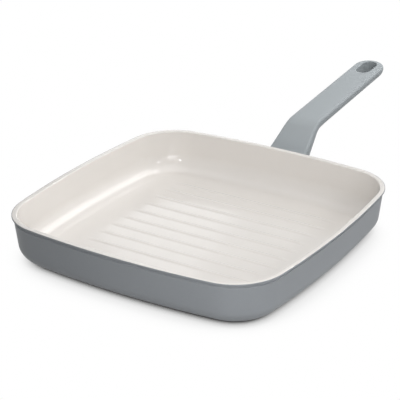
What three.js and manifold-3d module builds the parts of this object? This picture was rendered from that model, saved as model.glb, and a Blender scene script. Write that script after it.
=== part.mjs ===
// A square grill pan: a cast aluminium body with a lipped rim, a pale ceramic lining over raised ridges,
// a perforated steel plate in its base for induction hobs, and a moulded handle that slides over a cast lug
// and is held by one screw from below. Millimetres, +Z up. The origin is the middle of the face that stands
// on the hob, and the handle points along +Y.
import * as THREE from "three";
import { mergeVertices } from "three/addons/utils/BufferGeometryUtils.js";
import Module from "manifold-3d";

const wasm = await Module();
wasm.setup();

// Rim outline, seen from above
const RIM_HALF_WIDTH = 140;
const RIM_CORNER_RADIUS = 48;
const SIDE_BOW = 5;

// Section through the outer wall
const PAN_HEIGHT = 44;
const LIP_FACE_HEIGHT = 1.6;
const LIP_OVERHANG = 2.5;
const COVE_HEIGHT = 2.6;
const SHOULDER_STEP = 0.6;
const SHOULDER_HEIGHT = 0.8;
const WALL_DRAFT = THREE.MathUtils.degToRad(6.5);
const BELLY_HEIGHT = 15.6;
const BELLY_DEPTH = 19.9;

// Section through the inside, measured on the lining
const RIM_WIDTH = 5;
const RIM_EDGE_RADIUS = 0.5;
const INNER_DRAFT = THREE.MathUtils.degToRad(5);
const FLOOR_FILLET = 19;
const FLOOR_HEIGHT = 4.6;

// Lining
const LINING_THICKNESS = 0.5;
const BOND_GAP = 0.3;

// Grill ridges, measured on the cast metal
const RIDGE_COUNT = 11;
const RIDGE_PITCH = 18.3;
const RIDGE_HEIGHT = 1.2;
const RIDGE_TOP_WIDTH = 1;
const RIDGE_FLANK = 1.8;
const RIDGE_END_MARGIN = 23;

// Induction plate
const PLATE_HALF_WIDTH = 92;
const PLATE_CORNER_RADIUS = 34;
const PLATE_BOW = 3;
const PLATE_THICKNESS = 1.2;
const PLATE_HOLE_RADIUS = 3.5;
const PLATE_HOLE_PITCH = 24;
const PLATE_HOLE_MARGIN = 8;

// Handle spine: the line along the middle of its top face
const ROOT_BURY = 11.3;
const ROOT_LENGTH = 6.6;
const ROOT_BEND_RADIUS = 35;
const NECK_ANGLE = THREE.MathUtils.degToRad(35);
const NECK_LENGTH = 23.3;
const GRIP_BEND_RADIUS = 36;
const GRIP_ANGLE = THREE.MathUtils.degToRad(5.65);
const GRIP_LENGTH = 153.4;

// Handle sections
const ROOT_HALF_WIDTH = 23.4;
const GRIP_HALF_WIDTH = 16;
const FLARE_EASE = 0.35;
const SLIMMING_OVERRUN = 15;
const GRIP_DEPTH = 15.5;
const ROOT_SIDE_DEPTH = 8;
const GRIP_SIDE_DEPTH = 3.4;
const TOP_CROWN = 0.6;
const TOP_EDGE_RADIUS = 1.8;

// Hanging slot
const SLOT_HALF_WIDTH = 7.75;
const SLOT_LENGTH = 30;
const SLOT_END_WALL = 5.5;
const SLOT_LIP = 1.2;
const TIP_FLAT = 0.05;

// Lug and handle screw
const LUG_WIDTH = 28;
const LUG_THICKNESS = 9.5;
const LUG_BASE_HEIGHT = 17.5;
const LUG_REACH = 22;
const LUG_EDGE_RADIUS = 3;
const SOCKET_CLEARANCE = 0.3;
const SOCKET_ROOF = 4.6;
const SCREW_RADIUS = 2.5;
const SCREW_CLEARANCE = 0.3;
const SCREW_REACH = 13;
const SCREW_TIP_CLEARANCE = 0.8;
const SCREW_HEAD_RADIUS = 4.75;
const SCREW_HEAD_HEIGHT = 3;
const SCREW_HEAD_SINK = 0.35;
const DRIVE_RADIUS = 1.9;
const DRIVE_DEPTH = 1.8;
const WASHER_RADIUS = 5;
const FLAT_WASHER_THICKNESS = 0.9;
const SPRING_WASHER_THICKNESS = 1.2;
const SPRING_WASHER_RADIUS = 4.6;
const SPRING_WASHER_SPLIT = 0.7;
const SPRING_WASHER_TWIST = 0.5;
const COUNTERBORE_CLEARANCE = 0.6;
const SOCKET_FLOOR = 2.6;
const STACK_GAP = 0.05;

// Facets
const CORNER_STEPS = 8;
const SIDE_STEPS = 4;
const FILLET_STEPS = 8;
const EDGE_STEPS = 3;
const ROUND_STEPS = 24;
const HOLE_STEPS = 10;
const BAR_END_STEPS = 6;
const FLARE_STEPS = 18;
const TIP_STEPS = 6;
const UNDERSIDE_STEPS = 7;
const TOP_SHARES = [0.88, 0.94, 0.985, 1];

const BODY_RIM_HEIGHT = PAN_HEIGHT - LINING_THICKNESS - BOND_GAP;
const LINING_OFFSET = BOND_GAP + LINING_THICKNESS;

// Solids

// Turns a closed geometry into a solid that can be joined and cut.
function solidOf(geometry) {
  const bare = new THREE.BufferGeometry().setAttribute("position", geometry.getAttribute("position"));
  bare.setIndex(geometry.index);
  const merged = mergeVertices(bare, 1e-5);
  const vertProperties = merged.attributes.position.array;
  const triVerts = new Uint32Array(merged.index.array);
  return new wasm.Manifold(new wasm.Mesh({ numProp: 3, vertProperties, triVerts }));
}

// Turns a solid back into a geometry with flat facets.
function geometryOf(solid) {
  const mesh = solid.getMesh();
  const geometry = new THREE.BufferGeometry();
  geometry.setAttribute("position", new THREE.BufferAttribute(mesh.vertProperties, 3));
  geometry.setIndex(new THREE.BufferAttribute(mesh.triVerts, 1));
  geometry.computeVertexNormals();
  return geometry;
}

// Skins a run of rings that all have the same number of points, and closes both ends with a flat fan.
function loft(rings) {
  const count = rings[0].length;
  const positions = [];
  const index = [];
  rings.forEach((ring) => ring.forEach((p) => positions.push(p.x, p.y, p.z)));
  for (let r = 0; r + 1 < rings.length; r++) {
    for (let i = 0; i < count; i++) {
      const a = r * count + i;
      const b = r * count + ((i + 1) % count);
      index.push(a, b, b + count, a, b + count, a + count);
    }
  }
  const addCap = (ring, first, facesBack) => {
    const middle = ring.reduce((sum, p) => sum.add(p), new THREE.Vector3()).divideScalar(count);
    const centre = positions.length / 3;
    positions.push(middle.x, middle.y, middle.z);
    for (let i = 0; i < count; i++) {
      const a = first + i;
      const b = first + ((i + 1) % count);
      index.push(centre, ...(facesBack ? [b, a] : [a, b]));
    }
  };
  addCap(rings[0], 0, true);
  addCap(rings.at(-1), (rings.length - 1) * count, false);
  const geometry = new THREE.BufferGeometry();
  geometry.setAttribute("position", new THREE.Float32BufferAttribute(positions, 3));
  geometry.setIndex(index);
  return solidOf(geometry);
}

function cylinder(radius, bottom, top, steps = ROUND_STEPS) {
  const geometry = new THREE.CylinderGeometry(radius, radius, top - bottom, steps);
  geometry.rotateX(Math.PI / 2);
  geometry.translate(0, 0, (top + bottom) / 2);
  return solidOf(geometry);
}

function material(color, roughness, metalness) {
  return new THREE.MeshStandardMaterial({ color, roughness, metalness });
}

function named(name, solid, finish) {
  const mesh = new THREE.Mesh(geometryOf(solid), finish);
  mesh.name = name;
  return mesh;
}

// Outlines seen from above. Each is a list of arcs, so an inset is the same arcs with smaller radii.

function arc(centre, radius, from, to, steps, keepsEnd = false) {
  return { centre, radius, from, to, steps, keepsEnd };
}

// A square with bowed sides and round corners that meet them smoothly.
function bowedSquare(halfWidth, cornerRadius, bow) {
  const halfChord = halfWidth - cornerRadius;
  const sideRadius = (halfChord * halfChord + bow * bow) / (2 * bow);
  const setBack = sideRadius - halfWidth;
  const reach = sideRadius - cornerRadius;
  const corner = (Math.sqrt(2 * reach * reach - setBack * setBack) - setBack) / 2;
  const sideAngle = Math.atan2(corner, corner + setBack);
  const arcs = [];
  for (let quarter = 0; quarter < 4; quarter++) {
    const turn = (quarter * Math.PI) / 2;
    const zero = new THREE.Vector2();
    const sideCentre = new THREE.Vector2(-setBack, 0).rotateAround(zero, turn);
    const cornerCentre = new THREE.Vector2(corner, corner).rotateAround(zero, turn);
    const sideEnd = turn + sideAngle;
    const cornerEnd = turn + Math.PI / 2 - sideAngle;
    arcs.push(arc(sideCentre, sideRadius, turn - sideAngle, sideEnd, SIDE_STEPS));
    arcs.push(arc(cornerCentre, cornerRadius, sideEnd, cornerEnd, CORNER_STEPS));
  }
  return arcs;
}

// A bar with round ends along X.
function stadium(halfLength, radius) {
  const reach = halfLength - radius;
  const quarter = Math.PI / 2;
  const right = arc(new THREE.Vector2(reach, 0), radius, -quarter, quarter, BAR_END_STEPS, true);
  const left = arc(new THREE.Vector2(-reach, 0), radius, quarter, 3 * quarter, BAR_END_STEPS, true);
  return [right, left];
}

function ringOf(arcs, inset, z) {
  return arcs.flatMap(({ centre, radius, from, to, steps, keepsEnd }) => {
    const points = [];
    const last = keepsEnd ? steps : steps - 1;
    for (let i = 0; i <= last; i++) {
      const angle = from + ((to - from) * i) / steps;
      const x = centre.x + (radius - inset) * Math.cos(angle);
      const y = centre.y + (radius - inset) * Math.sin(angle);
      points.push(new THREE.Vector3(x, y, z));
    }
    return points;
  });
}

// Skins an outline through stations, each an inset from the outline and a height.
function loftOutline(arcs, stations) {
  return loft(stations.map(([inset, z]) => ringOf(arcs, inset, z)));
}

const RIM_OUTLINE = bowedSquare(RIM_HALF_WIDTH, RIM_CORNER_RADIUS, SIDE_BOW);

// Stations of the outer wall, from the base up to the lip, grown outwards by a clearance.
function outerStations(grow = 0) {
  const lipHeight = PAN_HEIGHT - LIP_FACE_HEIGHT;
  const wallTopHeight = lipHeight - COVE_HEIGHT - SHOULDER_HEIGHT;
  const wallTopInset = LIP_OVERHANG - SHOULDER_STEP;
  const stations = [];
  for (let i = FILLET_STEPS; i >= 0; i--) {
    const angle = (i / FILLET_STEPS) * (Math.PI / 2);
    const z = BELLY_HEIGHT * (1 - Math.sin(angle));
    const draftInset = (wallTopHeight - z) * Math.tan(WALL_DRAFT);
    stations.push([wallTopInset + draftInset + BELLY_DEPTH * (1 - Math.cos(angle)) - grow, z]);
  }
  stations.push([wallTopInset - grow, wallTopHeight]);
  for (let i = 0; i <= EDGE_STEPS; i++) {
    const angle = (i / EDGE_STEPS) * (Math.PI / 2);
    const z = lipHeight - COVE_HEIGHT * (1 - Math.sin(angle));
    stations.push([LIP_OVERHANG * Math.cos(angle) - grow, z]);
  }
  return stations;
}

// Stations of the inside, from the rim down to the floor, for a surface that stands off the cast metal.
function innerStations(offset) {
  const rimHeight = BODY_RIM_HEIGHT + offset;
  const floorHeight = FLOOR_HEIGHT - LINING_OFFSET + offset;
  const fillet = FLOOR_FILLET + LINING_OFFSET - offset;
  const edge = RIM_EDGE_RADIUS + offset;
  const rimInset = RIM_WIDTH - LINING_OFFSET + offset;
  const tangentHeight = floorHeight + fillet * (1 - Math.sin(INNER_DRAFT));
  const tangentInset = rimInset + (rimHeight - tangentHeight) * Math.tan(INNER_DRAFT);
  const centreInset = tangentInset + fillet * Math.cos(INNER_DRAFT);
  const stations = [];
  for (let i = 0; i <= EDGE_STEPS; i++) {
    const angle = (i / EDGE_STEPS) * (Math.PI / 2);
    const inset = rimInset - edge * (1 - Math.sin(angle));
    stations.push([inset, rimHeight - edge * (1 - Math.cos(angle))]);
  }
  for (let i = 0; i <= FILLET_STEPS; i++) {
    const angle = INNER_DRAFT + (i / FILLET_STEPS) * (Math.PI / 2 - INNER_DRAFT);
    const inset = centreInset - fillet * Math.cos(angle);
    stations.push([inset, floorHeight + fillet * (1 - Math.sin(angle))]);
  }
  return stations;
}

// Grill ridges

// Bars across the floor with rounded tops, grown by a clearance all round, their feet sunk in the floor.
function ridges(grow) {
  const metalFloor = FLOOR_HEIGHT - LINING_OFFSET;
  const floorHalfWidth = RIM_HALF_WIDTH - innerStations(LINING_OFFSET).at(-1)[0];
  const halfLength = floorHalfWidth - RIDGE_END_MARGIN - LINING_OFFSET + grow;
  const bar = stadium(halfLength, RIDGE_TOP_WIDTH / 2 + RIDGE_FLANK + grow);
  const top = metalFloor + RIDGE_HEIGHT + grow;
  const stations = [
    [0, metalFloor - LINING_OFFSET],
    [0, metalFloor + grow],
    [RIDGE_FLANK * 0.35, top - RIDGE_HEIGHT * 0.4],
    [RIDGE_FLANK * 0.7, top - RIDGE_HEIGHT * 0.1],
    [RIDGE_FLANK, top],
  ];
  const bars = [];
  for (let i = 0; i < RIDGE_COUNT; i++) {
    const y = (i - (RIDGE_COUNT - 1) / 2) * RIDGE_PITCH;
    bars.push(loftOutline(bar, stations).translate(0, y, 0));
  }
  return wasm.Manifold.union(bars);
}

// Induction plate

const PLATE_OUTLINE = bowedSquare(PLATE_HALF_WIDTH, PLATE_CORNER_RADIUS, PLATE_BOW);

// Grid of holes over the plate, with its middle left plain.
function plateHoles() {
  const reach = PLATE_HALF_WIDTH - PLATE_HOLE_MARGIN - PLATE_HOLE_RADIUS;
  const count = Math.floor(reach / PLATE_HOLE_PITCH);
  const cornerCut = PLATE_CORNER_RADIUS * (1 - Math.SQRT1_2);
  const cornerReach = reach - PLATE_BOW - cornerCut;
  const holes = [];
  for (let i = -count; i <= count; i++) {
    for (let j = -count; j <= count; j++) {
      const x = i * PLATE_HOLE_PITCH;
      const y = j * PLATE_HOLE_PITCH;
      const inCorner = Math.min(Math.abs(x), Math.abs(y)) > cornerReach;
      if ((i !== 0 || j !== 0) && !inCorner) {
        const hole = cylinder(PLATE_HOLE_RADIUS, -PLATE_THICKNESS, 2 * PLATE_THICKNESS, HOLE_STEPS);
        holes.push(hole.translate(x, y, 0));
      }
    }
  }
  return holes;
}

function inductionPlate() {
  const sheet = loftOutline(PLATE_OUTLINE, [
    [0, 0],
    [0, PLATE_THICKNESS],
  ]);
  return sheet.subtract(wasm.Manifold.union(plateHoles()));
}

function plateRecess() {
  return loftOutline(PLATE_OUTLINE, [
    [-BOND_GAP, -PLATE_THICKNESS],
    [-BOND_GAP, PLATE_THICKNESS + BOND_GAP],
  ]);
}

// Lug on the wall, which the handle slides over

// Distance from the middle to the outer wall at a height, on the handle's side.
function wallReach(z) {
  const stations = outerStations();
  const above = stations.findIndex(([, height]) => height >= z);
  const [lowInset, low] = stations[above - 1];
  const [highInset, high] = stations[above];
  const inset = lowInset + ((highInset - lowInset) * (z - low)) / (high - low);
  return RIM_HALF_WIDTH - inset;
}

const LUG_MIDDLE_HEIGHT = LUG_BASE_HEIGHT + LUG_THICKNESS / 2;
const LUG_ROOT = wallReach(LUG_BASE_HEIGHT) - LINING_OFFSET;
const LUG_END = wallReach(LUG_MIDDLE_HEIGHT) + LUG_REACH;
const SCREW_POSITION = wallReach(LUG_MIDDLE_HEIGHT) + LUG_REACH / 2;

// A flat bar with round edges, from inside the wall outwards, grown by a clearance.
function lugBar(grow) {
  const halfWidth = LUG_WIDTH / 2 + grow;
  const halfThickness = LUG_THICKNESS / 2 + grow;
  const radius = LUG_EDGE_RADIUS + grow;
  const section = new THREE.Shape();
  section.absarc(halfWidth - radius, halfThickness - radius, radius, 0, Math.PI / 2);
  section.absarc(radius - halfWidth, halfThickness - radius, radius, Math.PI / 2, Math.PI);
  section.absarc(radius - halfWidth, radius - halfThickness, radius, Math.PI, 1.5 * Math.PI);
  section.absarc(halfWidth - radius, radius - halfThickness, radius, 1.5 * Math.PI, 2 * Math.PI);
  const depth = LUG_END + grow - LUG_ROOT;
  const curveSegments = EDGE_STEPS + 1;
  const geometry = new THREE.ExtrudeGeometry(section, { depth, bevelEnabled: false, curveSegments });
  geometry.rotateX(Math.PI / 2);
  geometry.translate(0, LUG_ROOT + depth, LUG_MIDDLE_HEIGHT);
  return solidOf(geometry);
}

// Heights of the screw and its washers, from the face that the flat washer bears on
const BEARING_HEIGHT = LUG_BASE_HEIGHT - SOCKET_CLEARANCE - SOCKET_FLOOR;
const FLAT_WASHER_TOP = BEARING_HEIGHT - STACK_GAP;
const SPRING_WASHER_TOP = FLAT_WASHER_TOP - FLAT_WASHER_THICKNESS - STACK_GAP;
const SCREW_HEAD_TOP = SPRING_WASHER_TOP - SPRING_WASHER_THICKNESS - STACK_GAP;
const SCREW_TIP = SCREW_HEAD_TOP + SCREW_REACH;

// Top and underside of the handle where it meets the wall
const ROOT_TOP_HEIGHT = LUG_BASE_HEIGHT + LUG_THICKNESS + SOCKET_CLEARANCE + SOCKET_ROOF;
const ROOT_UNDERSIDE_HEIGHT = SCREW_HEAD_TOP - SCREW_HEAD_HEIGHT - SCREW_HEAD_SINK;
const ROOT_DEPTH = ROOT_TOP_HEIGHT - ROOT_UNDERSIDE_HEIGHT;

function atScrew(solid) {
  return solid.translate(0, SCREW_POSITION, 0);
}

function lugHole() {
  const top = SCREW_TIP + SCREW_TIP_CLEARANCE;
  return atScrew(cylinder(SCREW_RADIUS + SCREW_CLEARANCE, LUG_BASE_HEIGHT - LUG_THICKNESS, top));
}

// Pan body and lining

function panBody() {
  const stations = [...outerStations(), [0, BODY_RIM_HEIGHT], ...innerStations(0)];
  let body = loftOutline(RIM_OUTLINE, stations);
  body = body.add(ridges(0));
  body = body.add(lugBar(0)).subtract(lugHole());
  return body.subtract(plateRecess());
}

function ceramicLining() {
  const under = innerStations(BOND_GAP).reverse();
  const over = innerStations(LINING_OFFSET);
  const edge = [[0, BODY_RIM_HEIGHT + BOND_GAP], [LINING_THICKNESS, PAN_HEIGHT]];
  const sheet = loftOutline(RIM_OUTLINE, [...under, ...edge, ...over]);
  const caps = ridges(LINING_OFFSET).trimByPlane([0, 0, 1], FLOOR_HEIGHT - LINING_THICKNESS);
  return sheet.add(caps).subtract(ridges(BOND_GAP));
}

// Handle

function alongFrom(point, distance, angle) {
  const x = point.x + distance * Math.cos(angle);
  const y = point.y + distance * Math.sin(angle);
  return new THREE.Vector2(x, y);
}

// The spine lies in the YZ plane: along the root, up the neck and out along the grip.
function handleSpine() {
  const spine = new THREE.Path();
  const wall = wallReach(LUG_MIDDLE_HEIGHT);
  const quarter = Math.PI / 2;
  spine.moveTo(wall - ROOT_BURY, ROOT_TOP_HEIGHT);
  spine.lineTo(wall + ROOT_LENGTH, ROOT_TOP_HEIGHT);
  spine.arc(0, ROOT_BEND_RADIUS, ROOT_BEND_RADIUS, -quarter, NECK_ANGLE - quarter);
  const neckEnd = alongFrom(spine.currentPoint, NECK_LENGTH, NECK_ANGLE);
  spine.lineTo(neckEnd.x, neckEnd.y);
  const bend = alongFrom(neckEnd, GRIP_BEND_RADIUS, NECK_ANGLE - quarter);
  spine.absarc(bend.x, bend.y, GRIP_BEND_RADIUS, NECK_ANGLE + quarter, GRIP_ANGLE + quarter, true);
  const tip = alongFrom(spine.currentPoint, GRIP_LENGTH, GRIP_ANGLE);
  spine.lineTo(tip.x, tip.y);
  return spine;
}

const SPINE = handleSpine();
const SPINE_LENGTH = SPINE.getLength();
const FLARE_START = ROOT_BURY + ROOT_LENGTH;
const FLARE_END = SPINE_LENGTH - GRIP_LENGTH;
const TIP_START = SPINE_LENGTH - GRIP_HALF_WIDTH;

// Distances along the spine at which the handle has a section, close together in the bends and at the tip.
function sectionDistances() {
  const distances = [0];
  for (let i = 0; i <= FLARE_STEPS; i++) {
    distances.push(FLARE_START + ((FLARE_END - FLARE_START) * i) / FLARE_STEPS);
  }
  distances.push((FLARE_END + TIP_START) / 2);
  for (let i = 0; i < TIP_STEPS; i++) {
    distances.push(TIP_START + GRIP_HALF_WIDTH * Math.sin(((i / TIP_STEPS) * Math.PI) / 2));
  }
  distances.push(SPINE_LENGTH - TIP_FLAT);
  return distances;
}

// Sizes of the section at a distance along the spine. Over the round tip it narrows like slices of a disc.
function sectionSize(distance) {
  const flare = THREE.MathUtils.clamp(1 - distance / FLARE_END, 0, 1);
  const eased = THREE.MathUtils.lerp(flare, THREE.MathUtils.smoothstep(flare, 0, 1), FLARE_EASE);
  const slim = THREE.MathUtils.smoothstep(distance, FLARE_START, FLARE_END + SLIMMING_OVERRUN);
  const fullWidth = THREE.MathUtils.lerp(GRIP_HALF_WIDTH, ROOT_HALF_WIDTH, eased);
  const side = THREE.MathUtils.lerp(ROOT_SIDE_DEPTH, GRIP_SIDE_DEPTH, slim);
  const fullDepth = THREE.MathUtils.lerp(ROOT_DEPTH, GRIP_DEPTH, slim);
  const past = Math.max(distance - TIP_START, 0);
  const share = Math.sqrt(1 - (past / fullWidth) ** 2);
  return { past, side, fullWidth, halfWidth: fullWidth * share, depth: side + (fullDepth - side) * share };
}

// How far the top face lies below the spine: a slight crown, with a round edge all the way round the tip.
function topDrop(across, { fullWidth, past }) {
  const outward = Math.hypot(across, past);
  const roll = Math.max(outward - (fullWidth - TOP_EDGE_RADIUS), 0);
  const crown = TOP_CROWN * (outward / fullWidth) ** 2;
  return crown + TOP_EDGE_RADIUS - Math.sqrt(Math.max(TOP_EDGE_RADIUS ** 2 - roll ** 2, 0));
}

// One section: a slightly crowned top with round edges, upright sides and a rounded underside.
function sectionPoints(size) {
  const right = TOP_SHARES.map((share) => [size.halfWidth * share, -topDrop(size.halfWidth * share, size)]);
  for (let i = 0; i < UNDERSIDE_STEPS; i++) {
    const angle = (i / UNDERSIDE_STEPS) * (Math.PI / 2);
    const down = size.side + (size.depth - size.side) * Math.sin(angle);
    right.push([size.halfWidth * Math.cos(angle), -down]);
  }
  const left = right.map(([across, up]) => [-across, up]).reverse();
  return [[0, -topDrop(0, size)], ...right, [0, -size.depth], ...left];
}

function handleRing(distance) {
  const u = distance / SPINE_LENGTH;
  const point = SPINE.getPoint(u);
  const tangent = SPINE.getTangent(u);
  return sectionPoints(sectionSize(distance)).map(([across, up]) => {
    return new THREE.Vector3(across, point.x - up * tangent.y, point.y + up * tangent.x);
  });
}

// The hanging slot, square to the grip, with a rounded lip on both faces.
function hangingSlot() {
  const bar = stadium(SLOT_LENGTH / 2, SLOT_HALF_WIDTH);
  const slot = loftOutline(bar, [
    [-2 * SLOT_LIP, SLOT_LIP],
    [-SLOT_LIP, 0],
    [-SLOT_LIP / 4, -SLOT_LIP],
    [0, -2 * SLOT_LIP],
    [0, 2 * SLOT_LIP - GRIP_DEPTH],
    [-SLOT_LIP / 4, SLOT_LIP - GRIP_DEPTH],
    [-SLOT_LIP, -GRIP_DEPTH],
    [-2 * SLOT_LIP, -GRIP_DEPTH - SLOT_LIP],
  ].reverse());
  const tip = SPINE.getPoint(1);
  const back = SLOT_END_WALL + SLOT_LENGTH / 2;
  const angle = THREE.MathUtils.radToDeg(GRIP_ANGLE);
  const y = tip.x - back * Math.cos(GRIP_ANGLE);
  const z = tip.y - back * Math.sin(GRIP_ANGLE);
  return slot.rotate([0, 0, 90]).rotate([angle, 0, 0]).translate(0, y, z);
}

function handleScrewHole() {
  const shank = cylinder(SCREW_RADIUS + SCREW_CLEARANCE, 0, LUG_MIDDLE_HEIGHT);
  const below = ROOT_TOP_HEIGHT - 2 * ROOT_DEPTH;
  const bore = cylinder(WASHER_RADIUS + COUNTERBORE_CLEARANCE, below, BEARING_HEIGHT);
  return atScrew(shank.add(bore));
}

function handle() {
  const moulding = loft(sectionDistances().map(handleRing));
  const lipTop = [-SOCKET_CLEARANCE, PAN_HEIGHT];
  const wall = loftOutline(RIM_OUTLINE, [...outerStations(SOCKET_CLEARANCE), lipTop]);
  return moulding
    .subtract(wall)
    .subtract(lugBar(SOCKET_CLEARANCE))
    .subtract(handleScrewHole())
    .subtract(hangingSlot());
}

// Screw and washers

function handleScrew() {
  const shank = cylinder(SCREW_RADIUS, SCREW_HEAD_TOP - SCREW_HEAD_HEIGHT / 2, SCREW_TIP);
  const profile = [
    [0, -SCREW_HEAD_HEIGHT],
    [SCREW_HEAD_RADIUS * 0.6, -SCREW_HEAD_HEIGHT],
    [SCREW_HEAD_RADIUS * 0.9, -SCREW_HEAD_HEIGHT * 0.75],
    [SCREW_HEAD_RADIUS, -SCREW_HEAD_HEIGHT * 0.4],
    [SCREW_HEAD_RADIUS, 0],
    [0, 0],
  ].map(([r, z]) => new THREE.Vector2(r, z));
  const head = new THREE.LatheGeometry(profile, ROUND_STEPS).rotateX(Math.PI / 2);
  const bottom = SCREW_HEAD_TOP - SCREW_HEAD_HEIGHT;
  const socket = cylinder(DRIVE_RADIUS, bottom - DRIVE_DEPTH, bottom + DRIVE_DEPTH, 6);
  return atScrew(solidOf(head).translate(0, 0, SCREW_HEAD_TOP).add(shank).subtract(socket));
}

function washerRing(radius, bottom, top) {
  const bore = cylinder(SCREW_RADIUS + SCREW_CLEARANCE, bottom - 1, top + 1);
  return cylinder(radius, bottom, top).subtract(bore);
}

function flatWasher() {
  return atScrew(washerRing(WASHER_RADIUS, FLAT_WASHER_TOP - FLAT_WASHER_THICKNESS, FLAT_WASHER_TOP));
}

// A split ring, cut through at a slant.
function springWasher() {
  const bottom = SPRING_WASHER_TOP - SPRING_WASHER_THICKNESS;
  const ring = washerRing(SPRING_WASHER_RADIUS, bottom, SPRING_WASHER_TOP);
  const height = SPRING_WASHER_THICKNESS * 4;
  const cut = new THREE.BoxGeometry(SPRING_WASHER_RADIUS * 2, SPRING_WASHER_SPLIT, height);
  cut.rotateX(SPRING_WASHER_TWIST);
  cut.translate(SPRING_WASHER_RADIUS, 0, (bottom + SPRING_WASHER_TOP) / 2);
  return atScrew(ring.subtract(solidOf(cut)));
}

const greyLacquer = material(0x8b9195, 0.5, 0.1);
const creamCeramic = material(0xe6e1da, 0.25, 0);
const brushedSteel = material(0xb9bbbd, 0.4, 0.9);
const softTouchGrey = material(0xa3aaad, 0.65, 0);
const screwSteel = material(0xc4c6c8, 0.3, 0.9);

const grillPan = new THREE.Group();
grillPan.name = "grill_pan";
grillPan.add(
  named("pan_body", panBody(), greyLacquer),
  named("ceramic_lining", ceramicLining(), creamCeramic),
  named("induction_plate", inductionPlate(), brushedSteel),
  named("handle", handle(), softTouchGrey),
  named("handle_screw", handleScrew(), screwSteel),
  named("spring_washer", springWasher(), screwSteel),
  named("flat_washer", flatWasher(), screwSteel),
);

export default grillPan;
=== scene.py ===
from math import atan2, cos, hypot, pi, radians, sin, sqrt, tan

import bpy
from mathutils import Matrix, Quaternion, Vector


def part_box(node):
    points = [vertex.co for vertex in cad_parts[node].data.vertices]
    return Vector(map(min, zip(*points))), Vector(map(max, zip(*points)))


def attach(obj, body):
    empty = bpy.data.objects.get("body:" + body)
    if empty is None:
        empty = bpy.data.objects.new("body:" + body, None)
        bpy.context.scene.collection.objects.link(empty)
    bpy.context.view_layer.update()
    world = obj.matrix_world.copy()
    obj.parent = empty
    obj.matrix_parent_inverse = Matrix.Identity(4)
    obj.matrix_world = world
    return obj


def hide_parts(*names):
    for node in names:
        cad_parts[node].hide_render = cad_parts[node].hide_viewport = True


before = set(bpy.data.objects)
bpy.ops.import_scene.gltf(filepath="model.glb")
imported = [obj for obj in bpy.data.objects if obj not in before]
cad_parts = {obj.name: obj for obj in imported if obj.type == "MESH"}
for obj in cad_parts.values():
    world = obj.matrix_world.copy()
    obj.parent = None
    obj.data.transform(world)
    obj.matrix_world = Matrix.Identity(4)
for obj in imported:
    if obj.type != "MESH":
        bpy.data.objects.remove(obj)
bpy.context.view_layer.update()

MM = 0.001

# Rim outline and outer wall
RIM_HALF_WIDTH = 140
RIM_CORNER_RADIUS = 48
SIDE_BOW = 5
PAN_HEIGHT = 44
LIP_FACE_HEIGHT = 1.6
LIP_OVERHANG = 2.5
LIP_EDGE = 0.4
COVE_HEIGHT = 2.6
SHOULDER_STEP = 0.6
SHOULDER_HEIGHT = 0.8
SHOULDER_ROLL_SHARE = 0.8
WALL_DRAFT = radians(6.5)
BELLY_HEIGHT = 15.6
BELLY_DEPTH = 19.9

# Inside, and the lining with the grey edge round it
RIM_WIDTH = 5
RIM_EDGE_RADIUS = 0.5
LINING_FOOT = 0.6
LINING_ROLL = 0.3
LINING_PROUD = 0.15
LACQUER_EDGE = 0.4
LACQUER_ROLL = 0.2
RIM_SEAM = 0.02
INNER_DRAFT = radians(5)
FLOOR_FILLET = 19
FLOOR_HEIGHT = 4.6
LINING_THICKNESS = 0.5
LINING_OFFSET = 0.8
BODY_RIM_HEIGHT = PAN_HEIGHT - LINING_OFFSET

# Grill ridges, measured on the lining
RIDGE_COUNT = 11
RIDGE_PITCH = 18.3
RIDGE_HEIGHT = 0.55
RIDGE_HALF_LENGTH = 91
RIDGE_CREST = 0.3
RIDGE_FOOT = 3.2
RIDGE_RUN_OUT = 16
RIDGE_LIFT = 0.005

# Induction plate
PLATE_HALF_WIDTH = 92
PLATE_CORNER_RADIUS = 34
PLATE_BOW = 3
PLATE_THICKNESS = 1.2
PLATE_EDGE = 0.15
PLATE_SEAT = 0.15
PLATE_HOLE_RADIUS = 3.5
PLATE_HOLE_PITCH = 24
PLATE_HOLE_MARGIN = 8

# Handle
ROOT_BURY = 11.3
ROOT_LENGTH = 6.6
ROOT_BEND_RADIUS = 35
NECK_ANGLE = radians(35)
NECK_LENGTH = 23.3
GRIP_BEND_RADIUS = 36
GRIP_ANGLE = radians(5.65)
GRIP_LENGTH = 153.4
ROOT_HALF_WIDTH = 23.4
GRIP_HALF_WIDTH = 16
FLARE_EASE = 0.35
SLIMMING_OVERRUN = 15
ROOT_TOP_HEIGHT = 31.9
ROOT_DEPTH = 22.9
GRIP_DEPTH = 15.5
ROOT_SIDE_DEPTH = 8
GRIP_SIDE_DEPTH = 3.4
TOP_CROWN = 0.61
TOP_EDGE_RADIUS = 2.6
TIP_FLAT = 0.06
WALL_GAP = 0.15
SLOT_HALF_WIDTH = 7.75
SLOT_LENGTH = 30
SLOT_END_WALL = 5.5
SLOT_LIP = 1.2

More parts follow.
